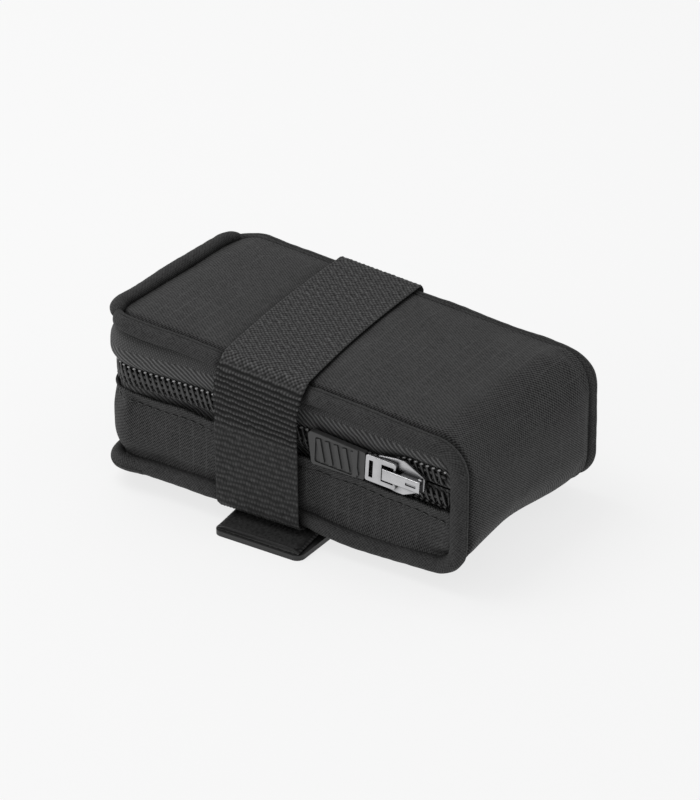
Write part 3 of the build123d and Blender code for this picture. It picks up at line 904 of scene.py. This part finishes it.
def rear_roll(name, height, bulge, seed, reach, trim, taper):
    """The roll round the rear end; trim is how far short of the outline's ends it stops."""
    line, normals, run = plan_outline(ROLL_STEP, reach)
    keep = (run > trim) & (run < run[-1] - trim)
    line, normals, run = line[keep], normals[keep], run[keep] - trim
    x = line[:, 0]
    middle = (run[0] + run[-1]) / 2
    corner = bump(run, middle - HALF_W, 9) + bump(run, middle + HALF_W, 9)
    steady = smooth((np.minimum(run, run[-1] - run) - 4) / 12)
    lift = (bulge * corner + 0.2 * along(run, 30.0, seed + 5)) * steady
    flat = line + normals * lift[:, None]
    z = height(x) + 0.2 * along(run, 33.0, seed + 6) * steady
    centres = np.concatenate([flat, z[:, None]], 1)
    outward = np.concatenate([normals, 0 * normals[:, :1]], 1)
    up = np.tile([0.0, 0.0, 1.0], (len(x), 1))
    radius = roll_radius(centres, seed, 0.035, taper)
    points, faces, uv = tube(centres, outward, up, radius, ROLL_RING)
    return roll_piece(name, points, faces, uv)


def roll_piece(name, points, faces, uv):
    piece = make_mesh(name, points, faces, ROLL, uv)
    subdivide(piece, 1)
    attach(piece, "bag")
    return piece


def bottom_roll_z(x):
    return 0 * x + BOTTOM_Z


def top_roll_z(x):
    return top_z(x) + 0.3


def rolls():
    made = {
        "near": side_roll("roll_near_fabric", -1, 21),
        "far": side_roll("roll_far_fabric", 1, 31),
        "rear_top": rear_roll(
            "roll_rear_top_fabric", top_roll_z,
            bulge=0.2, seed=41, reach=-60.0, trim=TOP_TRIM, taper=2.2,
        ),
        "rear_bottom": rear_roll(
            "roll_rear_bottom_fabric", bottom_roll_z,
            bulge=2.0, seed=51, reach=-52.0, trim=0.0, taper=0.8,
        ),
    }
    for name, piece in made.items():
        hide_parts("roll_" + name, "roll_cord_" + name)


# ---- zip

ZIP_SWELL = 2.4
ZIP_SLIT = 0.5
COIL_BED = 3.4  # half the flat strip of tape that the coil is sewn to
TAPE_FLUSH_RUN = 7.0  # where the tape comes flush with the front seam
LOWER_TAPE_DEPTH = 14.5
COIL_STEPS = 16
PART_RUN = 10.0
LOCK_STITCH_R = 0.42


def outline_at(line, normals, run, stations):
    """Points and normals of an outline at running lengths."""
    found = [line[:, 0], line[:, 1], normals[:, 0], normals[:, 1]]
    return [np.interp(stations, run, values) for values in found]


def zip_offset(run):
    """How far the zip tape stands from the roll's centre line."""
    return TAPE_OFFSET + ZIP_SWELL * rear_share(run)


def zip_tape(name, node, span_at, rows, belly, rear_belly):
    """One zip tape round three sides; span_at gives its edges' heights at x, and the bellies
    its bulge along the sides and what the rear end adds."""
    line, normals, run = plan_outline(2.0, HALF_L - 0.9)
    x = line[:, 0]
    share = np.linspace(0, 1, rows)
    low, high = span_at(x)
    z = low[:, None] + (high - low)[:, None] * share[None, :]
    s = np.repeat(run[:, None], rows, 1)
    ripple = 0.22 * waves(np.stack([s.ravel(), 2 * z.ravel()], -1), 15.0, 61).reshape(s.shape)
    from_zip = np.abs(z - zip_z(x)[:, None])
    bed = (COIL_BED + COIL_PARTING * part_share(x) * (run < run[-1] / 2))[:, None]
    span = np.maximum(from_zip.max(1)[:, None] - bed, 1.0)
    middle = np.sin(math.pi * np.clip((from_zip - bed) / span, 0, 1) ** 0.7)
    rear = rear_share(run)[:, None]
    middle = middle * smooth(np.minimum(run, run[-1] - run) / TAPE_FLUSH_RUN)[:, None]
    lift = zip_offset(run)[:, None] + (belly + rear_belly * rear) * middle + ripple * middle
    points = along_plan(line, normals, lift, z)
    faces = grid_faces(len(line), rows)[:, ::-1]
    uv = np.stack([s.ravel(), (z - zip_z(x)[:, None]).ravel()], -1)
    piece = make_mesh(name, points, faces, TAPE, uv)
    thicken(piece, 0.6)
    subdivide(piece, 1)
    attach(piece, "bag")
    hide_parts(node)


def coil(name, node, sign):
    """One row of the coil: a wound filament whose loops meet the other row's."""
    line, normals, run = plan_outline(0.5, HALF_L - 4.0)
    total = run[-1]
    first, last = 1.5, total - 1.5
    turns = int((last - first) / COIL_PITCH)
    t = np.arange(turns * COIL_STEPS + 1) / COIL_STEPS
    angle = TAU * t
    centre_run = first + COIL_PITCH * (t + (0.5 if sign > 0 else 0.0))
    reach = np.sign(np.cos(angle)) * np.abs(np.cos(angle)) ** 0.75
    rise = sign * np.sign(np.sin(angle)) * np.abs(np.sin(angle)) ** 0.8
    parted = part_share(np.interp(centre_run, run, line[:, 0])) * (centre_run < total / 2)
    inner = -COIL_OVERLAP + (COIL_OVERLAP + 1.5) * parted
    outer = COIL_HALF_WIDTH + COIL_PARTING * parted
    w = (inner + outer) / 2 - reach * (outer - inner) / 2
    out = COIL_HEIGHT / 2 + rise * (COIL_HEIGHT / 2 - FILAMENT_R)
    place = centre_run + sign * COIL_LEAN * w / COIL_HALF_WIDTH
    x, y, nx, ny = outline_at(line, normals, run, place)
    lift = np.interp(place, run, zip_offset(run)) + out
    centres = np.stack([x + nx * lift, y + ny * lift, zip_z(x) + sign * w], -1)
    head = bump(reach, 1.0, 0.35)
    wound = thread(centres, FILAMENT_R * (1 + 0.15 * head), ring=8)
    points, faces, uv = join_parts([wound, coil_core(line, normals, run, sign)])
    piece = make_mesh(name, points, faces, COIL, uv)
    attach(piece, "bag")
    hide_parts(node)


def coil_core(line, normals, run, sign):
    """The cord that the filament is wound round."""
    parted = part_share(line[:, 0]) * (run < run[-1] / 2)
    lift = (zip_offset(run) + COIL_HEIGHT / 2 - 0.2)[:, None]
    flat = line + normals * lift
    middle = (COIL_HALF_WIDTH - COIL_OVERLAP) / 2
    z = zip_z(flat[:, 0]) + sign * (middle + COIL_PARTING * parted)
    centres = np.concatenate([flat, z[:, None]], 1)[4:-4:4]
    return thread(centres, CORE_R * np.ones(len(centres)), ring=8)


def part_share(x):
    """1 in front of the slider, where the two rows stand apart, and 0 behind it."""
    return 1 - smooth((SLIDER_X + 2.0 - x) / PART_RUN)


def coil_stitches(name, sign, material):
    """Little lock stitches that hold the coil's outer edge to the tape; the upper row's take a far
    lighter nylon as painted highlights on the coil's outer bends.
    """
    line, normals, run = plan_outline(0.5, HALF_L - 4.0)
    total = run[-1]
    parts = []
    for centre in np.arange(2.0, total - 2.0, COIL_PITCH):
        stations = np.linspace(centre - 0.55, centre + 0.55, 5)
        x, y, nx, ny = outline_at(line, normals, run, stations)
        lift = np.interp(stations, run, zip_offset(run)) + COIL_HEIGHT * 0.75
        parted = part_share(x) * (centre < total / 2)
        reach = COIL_HALF_WIDTH + COIL_PARTING * parted + 0.25 + np.linspace(0.25, -0.25, 5)
        z = zip_z(x) + sign * reach
        track = np.stack([x + nx * lift, y + ny * lift, z], -1)
        radius = LOCK_STITCH_R * np.array([0.5, 0.9, 1.0, 0.9, 0.5])
        parts.append(thread(track, radius, ring=8))
    points, faces, uv = join_parts(parts)
    piece = make_mesh(name, points, faces, material, uv)
    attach(piece, "bag")


def upper_tape_span(x):
    """Lowest and highest height of the upper tape."""
    return zip_z(x) + ZIP_SLIT / 2, top_z(x) - ROLL_R / 2


def lower_tape_span(x):
    return zip_z(x) - LOWER_TAPE_DEPTH, zip_z(x) - ZIP_SLIT / 2


def zips():
    zip_tape(
        "zip_tape_upper_fabric", "zip_tape_upper", upper_tape_span,
        rows=20, belly=1.3, rear_belly=2.0,
    )
    zip_tape(
        "zip_tape_lower_fabric", "zip_tape_lower", lower_tape_span,
        rows=16, belly=-1.8, rear_belly=2.3,
    )
    coil("zip_coil_upper_teeth", "zip_coil_upper", 1)
    coil("zip_coil_lower_teeth", "zip_coil_lower", -1)
    # The upper row's stitches carry painted highlights; the lower row's keep the coil's own nylon.
    coil_stitches("zip_stitch_upper", 1, PAINTED_HIGHLIGHT_NYLON)
    coil_stitches("zip_stitch_lower", -1, COIL)


# ---- strap

RIB_ZONE = 27.0
RIB_PITCH = 2.05
DASH_PITCH = 1.2
BASKET_U = 1.75
BASKET_V = 1.65
WEAVE_STEP = 0.29
CORNER_R = 2.6
TOP_CORNER_R = 6.0


def strap_centre_x(y):
    """X of the strap's middle where it crosses the top and, past the sides, its legs' tops."""
    t = np.clip((np.asarray(y, float) + STRAP_MID_Y) / (2 * STRAP_MID_Y), 0, 1)
    return NEAR_TOP_X + (LEG_PIVOT[0] - NEAR_TOP_X) * t - 1.6 * np.sin(math.pi * t)


def strap_top_z(x):
    """Middle of the webbing's thickness on the top run, beside the fold at the far edge."""
    return LEG_PIVOT[2] - WEB / 2 - TOP_SLOPE * (x - LEG_PIVOT[0])


def uneven(u, v, length, seed):
    """Seeded noise over the webbing's face."""
    flat = np.stack([u.ravel(), v.ravel()], -1)
    return waves(flat, length, seed).reshape(u.shape)


def weave_height(u, v, ribs):
    """0 to 1 height of the webbing's face: basket weave, or heavy weft ribs where ribs is 1."""
    u = u + 0.12 * uneven(u, v, 5.0, 91)
    v = v + 0.16 * uneven(u, v, 4.0, 92)
    basket = 0.5 + 0.5 * np.cos(TAU * u / BASKET_U) * np.cos(TAU * v / BASKET_V)
    basket = np.clip(basket**0.9 + 0.13 * uneven(u, v, 2.3, 93), 0, 1)
    row = np.round(v / RIB_PITCH)
    dash = 0.5 + 0.5 * np.cos(TAU * u / DASH_PITCH + math.pi * row)
    rib = (0.5 + 0.5 * np.cos(TAU * v / RIB_PITCH)) ** 1.1
    rib = rib * (0.5 + 0.5 * dash)
    return basket * (1 - ribs) + rib * ribs


def fine_rows(u, v):
    """The lower leg's face: fine weft rows broken into columns."""
    v = v + 0.18 * uneven(u, v, 5.0, 95)
    column = 0.5 + 0.5 * np.cos(TAU * u / DASH_PITCH + math.pi * np.round(v / RIB_PITCH))
    row = 0.5 + 0.5 * np.cos(TAU * v / RIB_PITCH)
    worn = 0.08 * uneven(u, v, 3.0, 94)
    return np.clip(0.02 + 0.30 * row + 0.36 * (0.35 + 0.65 * row) * column + worn, 0, 1)


BACK_COLUMNS = 12


def ribbon(name, track, across, face_height, depth):
    """Webbing along a track: a fine woven outer face, rounded edges and a plain back.

    track is the middle of the webbing, across its unit width direction, face_height the
    relief of the outer face as a grid over the track and the width, from 0 to 1."""
    count = len(track)
    outward = unit_rows(np.cross(across, unit_rows(np.gradient(track, axis=0))))
    columns = face_height.shape[1]
    wide = np.linspace(-WEB_WIDTH / 2, WEB_WIDTH / 2, columns)
    selvedge = np.clip((WEB_WIDTH / 2 - np.abs(wide)) / 0.7, 0, 1)
    dome = np.sqrt(1 - (1 - selvedge) ** 2)[None, :]
    top = (WEB / 2 - depth) * dome + depth * face_height * np.maximum(dome, 0.3)
    back = np.linspace(WEB_WIDTH / 2, -WEB_WIDTH / 2, BACK_COLUMNS)[1:-1]
    under = np.full((count, len(back)), -WEB / 2)
    level = np.concatenate([top, under], 1)
    place = np.concatenate([wide, back])
    sideways = place[None, :, None] * across[:, None, :]
    points = track[:, None, :] + sideways + level[:, :, None] * outward[:, None, :]
    ring = points.shape[1]
    faces = grid_faces(count, ring, wrap_columns=True).tolist()
    faces.append(list(range(ring)))
    faces.append(list(range((count - 1) * ring, count * ring))[::-1])
    uv = np.stack(np.meshgrid(running_length(track), place, indexing="ij"), -1).reshape(-1, 2)
    piece = make_mesh(name, points.reshape(-1, 3), faces, WEBBING, uv)
    # The crown attribute carries the face's relief, from which the webbing material paints light
    # on the crowns and shade in the gaps.
    crown = piece.data.attributes.new("crown", "FLOAT", "POINT")
    values = np.concatenate([face_height, np.full((count, len(back)), 0.5)], 1)
    crown.data.foreach_set("value", values.astype(np.float32).ravel())
    return piece


FREE_RUN_Y = 20.0


def strap_loop():
    """The strap's whole run in its own plane (y, z): tail, near leg, top, far leg, free end."""
    far_x = LEG_PIVOT[0]
    top_near = strap_top_z(NEAR_TOP_X)
    top_far = strap_top_z(far_x)
    corners = [
        (LOOP_HIGH[1] + 2.0, TAIL_MID_Z),
        (-STRAP_MID_Y, TAIL_MID_Z),
        (-STRAP_MID_Y, top_near),
        (STRAP_MID_Y, top_far),
        (STRAP_MID_Y, WEB / 2),
        (FREE_RUN_Y, WEB / 2),
    ]
    points, _, run = rounded(corners, [4.0, TOP_CORNER_R, CORNER_R, CORNER_R], WEAVE_STEP)
    return points, run


def strap_x(points, run):
    """X of the strap's middle along its run round the bag."""
    y, z = points[:, 0], points[:, 1]
    near = (y < 0) & (np.abs(y + STRAP_MID_Y) < 3)
    far = (y > 0) & (np.abs(y - STRAP_MID_Y) < 3)
    x = np.where(z > BOTTOM_Z, strap_centre_x(y), NEAR_BOTTOM_X)
    leg = smooth((z - 47) / 15)
    x = np.where(near, NEAR_BOTTOM_X + (NEAR_TOP_X - NEAR_BOTTOM_X) * leg, x)
    down = np.clip((LEG_PIVOT[2] - z) / LEG_PIVOT[2], 0, 1)
    x = np.where(far, LEG_PIVOT[0] + (PEEL_PIVOT[0] - LEG_PIVOT[0]) * down, x)
    x = np.where((z < BOTTOM_Z) & (run > run[-1] * 0.5) & ~far, free_end_x(y), x)
    kernel = np.ones(15) / 15
    padded_x = np.pad(x, 7, mode="edge")
    return np.convolve(padded_x, kernel, mode="valid")


def free_end_x(y):
    """X of the free end's middle, which runs askew under the bag."""
    share = (STRAP_MID_Y - y) / (STRAP_MID_Y - END_Y)
    return PEEL_PIVOT[0] + (END_X - PEEL_PIVOT[0]) * share


def face_grid(run):
    """Places across and along the webbing's outer face."""
    columns = int(WEB_WIDTH / WEAVE_STEP) + 1
    u = np.linspace(-WEB_WIDTH / 2, WEB_WIDTH / 2, columns)[None, :] + 0 * run[:, None]
    return u, run[:, None] + 0 * u


def strap():
    points, run = strap_loop()
    x = strap_x(points, run)
    off_centre = x - strap_centre_x(points[:, 0])
    slope_z = np.where(points[:, 1] > BOTTOM_Z + 6, -TOP_SLOPE * off_centre, 0)
    track = np.stack([x, points[:, 0], points[:, 1] + slope_z], -1)
    tilt = smooth((points[:, 1] - 25) / 25)
    across = unit_rows(np.stack([0 * x + 1, 0 * x, -TOP_SLOPE * tilt], -1))
    u, v = face_grid(run)
    on_near_leg = (points[:, 0] < -STRAP_MID_Y + 4)[:, None]
    z = points[:, 1][:, None]
    rib_top = strap_top_z(NEAR_TOP_X) - 0.5
    ribs = np.where(on_near_leg, smooth((z - rib_top + RIB_ZONE) / 5), 0.0)
    past_corner = smooth((points[:, 0] + STRAP_MID_Y - 0.5) / 2.0)[:, None]
    ribs = ribs * (1 - past_corner)
    rows = np.where(on_near_leg & (z < rib_top - RIB_ZONE + 5), 1.0, 0.0) * (1 - ribs)
    relief = weave_height(u, v, ribs) * (1 - rows) + fine_rows(u, v) * rows
    depth = (0.5 + 0.45 * ribs)[:, :1]
    near_part = points[:, 0] < STRAP_MID_Y - 9
    first_far = int(np.argmax((run > run[-1] * 0.4) & ~near_part))
    last_leg = int(np.argmax((run > run[-1] * 0.5) & (points[:, 1] < 9.0)))
    over = slice(0, first_far + 1)
    leg = slice(first_far, last_leg + 1)
    piece = ribbon("strap_over_webbing", track[over], across[over], relief[over], depth[over])
    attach(piece, "bag")
    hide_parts("strap_over")
    piece = ribbon("strap_far_webbing", track[leg], across[leg], relief[leg], depth[leg])
    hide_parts("strap_far")
    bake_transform(piece)
    free_end(track[last_leg], run[last_leg])


def free_end(start, start_run):
    """From the far leg's foot round the bottom fold to the cut end over the rubber plate."""
    step = PLATE_HIGH[2]
    corners = [
        (STRAP_MID_Y, start[2]),
        (STRAP_MID_Y, WEB / 2),
        (PLATE_HIGH[1] + 7, WEB / 2),
        (PLATE_HIGH[1] + 1, WEB / 2 + step),
        (END_Y, WEB / 2 + step),
    ]
    points, _, run = rounded(corners, [CORNER_R, 4.0, 4.0], WEAVE_STEP)
    y, z = points[:, 0], points[:, 1]
    x = free_end_x(y)
    down = smooth((start[2] - z) / start[2])
    x = np.where(y > STRAP_MID_Y - 0.5, start[0] + (PEEL_PIVOT[0] - start[0]) * down, x)
    track = np.stack([x, y, z + 0.05], -1)
    across = np.tile([1.0, 0.0, 0.0], (len(x), 1))
    u, v = face_grid(run + start_run)
    relief = weave_height(u, v, 0.0)
    piece = ribbon("strap_end_webbing", track, across, relief, np.full((len(run), 1), 0.3))
    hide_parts("strap_end")
    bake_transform(piece)


# ---- hook and loop


TUFT_STEP = 0.5
PATCH_ROUND = 0.6


def fuzzy_patch(name, node, body, centre_x, seed, up):
    """A pile patch: a rounded slab whose open face and edges are tufted."""
    low, high = box_mm(node)
    wide = (WEB_WIDTH - 2) / 2
    count_y = int((high[1] - low[1]) / TUFT_STEP)
    count_x = int(2 * wide / TUFT_STEP)
    lengthways = np.linspace(low[1], high[1], count_y)
    y, x = np.meshgrid(lengthways, np.linspace(-wide, wide, count_x), indexing="ij")
    edge = np.minimum.reduce([y - low[1], high[1] - y, x + wide, wide - x])
    dome = np.sqrt(np.clip(edge / PATCH_ROUND, 0, 1))
    flat = np.stack([x.ravel(), y.ravel()], -1)
    tuft = (0.16 * waves(flat, 1.5, seed) + 0.10 * waves(flat, 0.9, seed + 1)).reshape(x.shape)
    base, crest = (low[2], high[2]) if up else (high[2], low[2])
    z = base + (crest - base) * dome * 0.9 + (1 if up else -1) * tuft * dome
    frill = 0.25 * waves(flat, 1.3, seed + 2).reshape(x.shape) * (edge < PATCH_ROUND)
    skin = np.stack([x + frill + centre_x(y), y, z], -1).reshape(-1, 3)
    back = np.stack([x + centre_x(y), y, base + 0 * x], -1).reshape(-1, 3)
    faces = grid_faces(count_y, count_x)
    skin_faces = (faces if up else faces[:, ::-1]).tolist()
    back_faces = [[i + len(skin) for i in f[::-1]] for f in skin_faces]
    points = np.vstack([skin, back])
    piece = make_mesh(name, points, skin_faces + back_faces, PILE, np.vstack([flat, flat]))
    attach(piece, body)
    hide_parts(node)


def tail_x(y):
    """X of the tail's middle, under the bag."""
    return NEAR_BOTTOM_X + 0 * y


def hook_and_loop():
    fuzzy_patch("hook_patch_pile", "hook_patch", "strap_tongue", free_end_x, 71, True)
    fuzzy_patch("loop_patch_pile", "loop_patch", "bag", tail_x, 81, False)


# ---- carried-over hard parts


def dress(node, material, edge):
    """Give a CAD node its finish and edges softened by that width."""
    part = frame["nodes"][node]
    part.data.materials.clear()
    part.data.materials.append(material)
    bevel = part.modifiers.new("edges", "BEVEL")
    bevel.width = edge * MM
    bevel.segments = 2
    bevel.limit_method = "ANGLE"
    bevel.angle_limit = math.radians(40)
    bevel.harden_normals = False


def hard_parts():
    for node in ("slider_body", "slider_bridge", "puller_link"):
        dress(node, METAL, 0.12)
    dress("slider_lock_pin", METAL, 0.08)
    dress("pull_tab", TAB_RUBBER, 0.14)
    dress("end_plate", PLATE_RUBBER, 0.3)
    dress("zip_bottom_stop", COIL, 0.1)


# ---- studio

VIEW_AZIMUTH = 33.44
VIEW_ELEVATION = 27.72
VIEW_ROLL = -0.54
VIEW_DISTANCE = 1000.0
VIEW_LENS = 133.1
VIEW_AIM = (1.35, 2.6, 32.3)
WORLD_STRENGTH = 0.62
FLOOR_HALF = 3.0  # metres
LIGHT_AIM = (0, 0, 0.03)  # metres


def camera():
    a, e = math.radians(VIEW_AZIMUTH), math.radians(VIEW_ELEVATION)
    back = Vector((math.sin(a) * math.cos(e), -math.cos(a) * math.cos(e), math.sin(e)))
    data = bpy.data.cameras.new("camera")
    data.lens = VIEW_LENS
    data.clip_start = 0.05
    data.clip_end = 20.0
    eye = add_object("camera", data)
    aim = Vector(VIEW_AIM) * MM
    eye.location = aim + back * VIEW_DISTANCE * MM
    eye.rotation_mode = "QUATERNION"
    roll = Quaternion((0, 0, 1), math.radians(VIEW_ROLL))
    eye.rotation_quaternion = (-back).to_track_quat("-Z", "Y") @ roll
    bpy.context.scene.camera = eye


def soft_light(name, place, size, power):
    """A large square light aimed at the bag."""
    data = bpy.data.lights.new(name, "AREA")
    data.shape = "SQUARE"
    data.size = size
    data.energy = power
    light = add_object(name, data)
    light.location = place
    light.rotation_mode = "QUATERNION"
    toward = Vector(LIGHT_AIM) - Vector(place)
    light.rotation_quaternion = toward.to_track_quat("-Z", "Y")


def studio():
    scene = bpy.context.scene
    scene.view_settings.view_transform = "Standard"
    world = bpy.data.worlds.new("studio")
    world.use_nodes = True
    sky = world.node_tree.nodes["Background"]
    sky.inputs["Color"].default_value = (1, 1, 1, 1)
    sky.inputs["Strength"].default_value = WORLD_STRENGTH
    scene.world = world
    corners = [(-1, -1, 0), (1, -1, 0), (1, 1, 0), (-1, 1, 0)]
    points = np.array(corners) * FLOOR_HALF / MM
    floor = make_mesh("floor", points, [(0, 1, 2, 3)], floor_material())
    soft_light("key", (-0.5, -0.1, 1.1), 0.8, 6.0)
    soft_light("left_fill", (-0.9, -0.75, 0.3), 0.5, 2.0)


camera()
main_panel()
lining()
side_band()
rolls()
zips()
strap()
hook_and_loop()
hard_parts()
studio()
